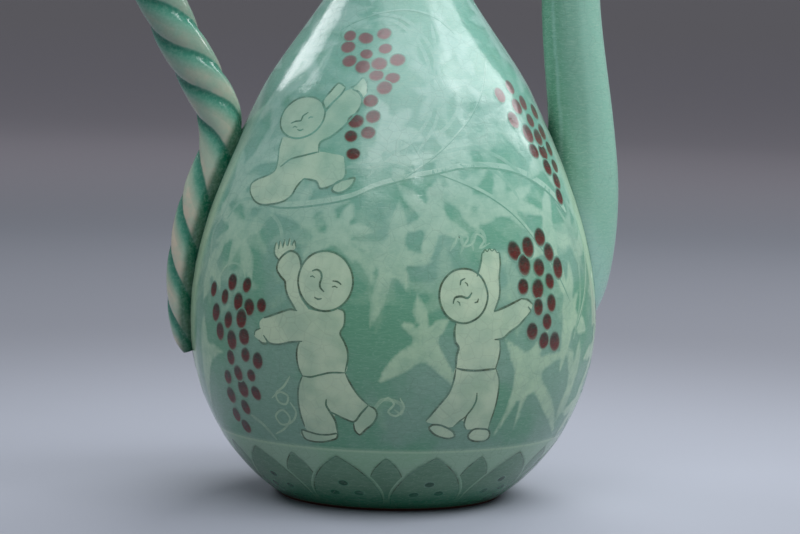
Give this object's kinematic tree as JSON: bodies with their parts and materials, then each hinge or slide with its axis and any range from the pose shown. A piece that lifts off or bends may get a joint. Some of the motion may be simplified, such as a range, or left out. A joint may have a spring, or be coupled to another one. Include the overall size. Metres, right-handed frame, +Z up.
{
  "type": "ewer",
  "caption": "Gourd-shaped celadon wine ewer with a twisted rope handle, a hollow spout and a loose lid; it stands on a flat foot and pours from its spout.",
  "frame": {"origin": "middle of the round foot, in the plane that the foot stands on", "axes": "+Z up along the turning axis, +X towards the spout, -X towards the handle"},
  "size_m": [0.214, 0.1688, 0.3332],
  "materials": {
    "celadon_glaze": "glossy grey-green celadon glaze with fine crackle over inlaid slip",
    "rope_glaze": "glossy celadon glaze, pale on the ridges and deep green in the grooves"
  },
  "bodies": {
    "ewer": {"lower_bulb": "celadon_glaze", "upper_bulb": "celadon_glaze", "spout": "celadon_glaze", "handle_strand_1": "rope_glaze", "handle_strand_2": "rope_glaze", "handle_strand_3": "rope_glaze", "handle_loop": "celadon_glaze"},
    "lid": {"lid": "celadon_glaze", "lid_knob": "celadon_glaze", "lid_loop": "celadon_glaze"}
  },
  "joints": [
    {"name": "lid_lift", "type": "slide", "parent": "ewer", "child": "lid", "axis": [0, 0, 1], "range_m": [0, 0.045]}
  ]
}
